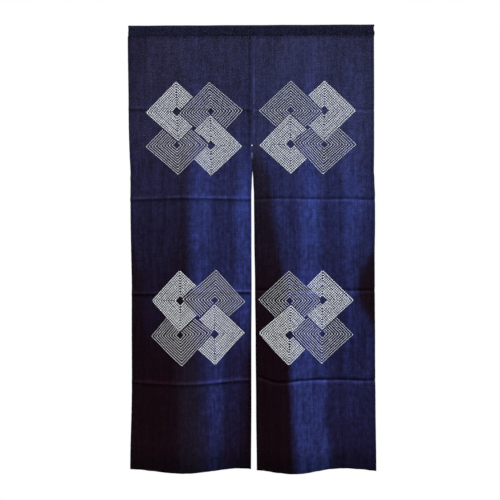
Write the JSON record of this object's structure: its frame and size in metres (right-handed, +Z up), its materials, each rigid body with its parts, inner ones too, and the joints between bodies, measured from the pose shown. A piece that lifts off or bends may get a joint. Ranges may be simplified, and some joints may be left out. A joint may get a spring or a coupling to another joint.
{
  "type": "noren curtain",
  "caption": "Split door curtain of indigo cotton, joined at the top by a short seam, with an open rod pocket and pale interlaced squares in running stitch.",
  "frame": {"origin": "top edge of the rod pocket, above the centre seam, where the rod carries the cloth", "axes": "+X along the rod towards the right panel as seen from the front, -Y towards the viewer, +Z up"},
  "size_m": [0.8489, 0.0562, 1.524],
  "materials": {
    "indigo_cotton": "matt plain weave, uneven indigo dye",
    "pale_thread": "matt twisted cotton thread",
    "navy_thread": "matt sewing thread"
  },
  "bodies": {
    "root": {"left_panel": "indigo_cotton", "right_panel": "indigo_cotton", "left_heading": "indigo_cotton", "right_heading": "indigo_cotton"}
  },
  "joints": []
}
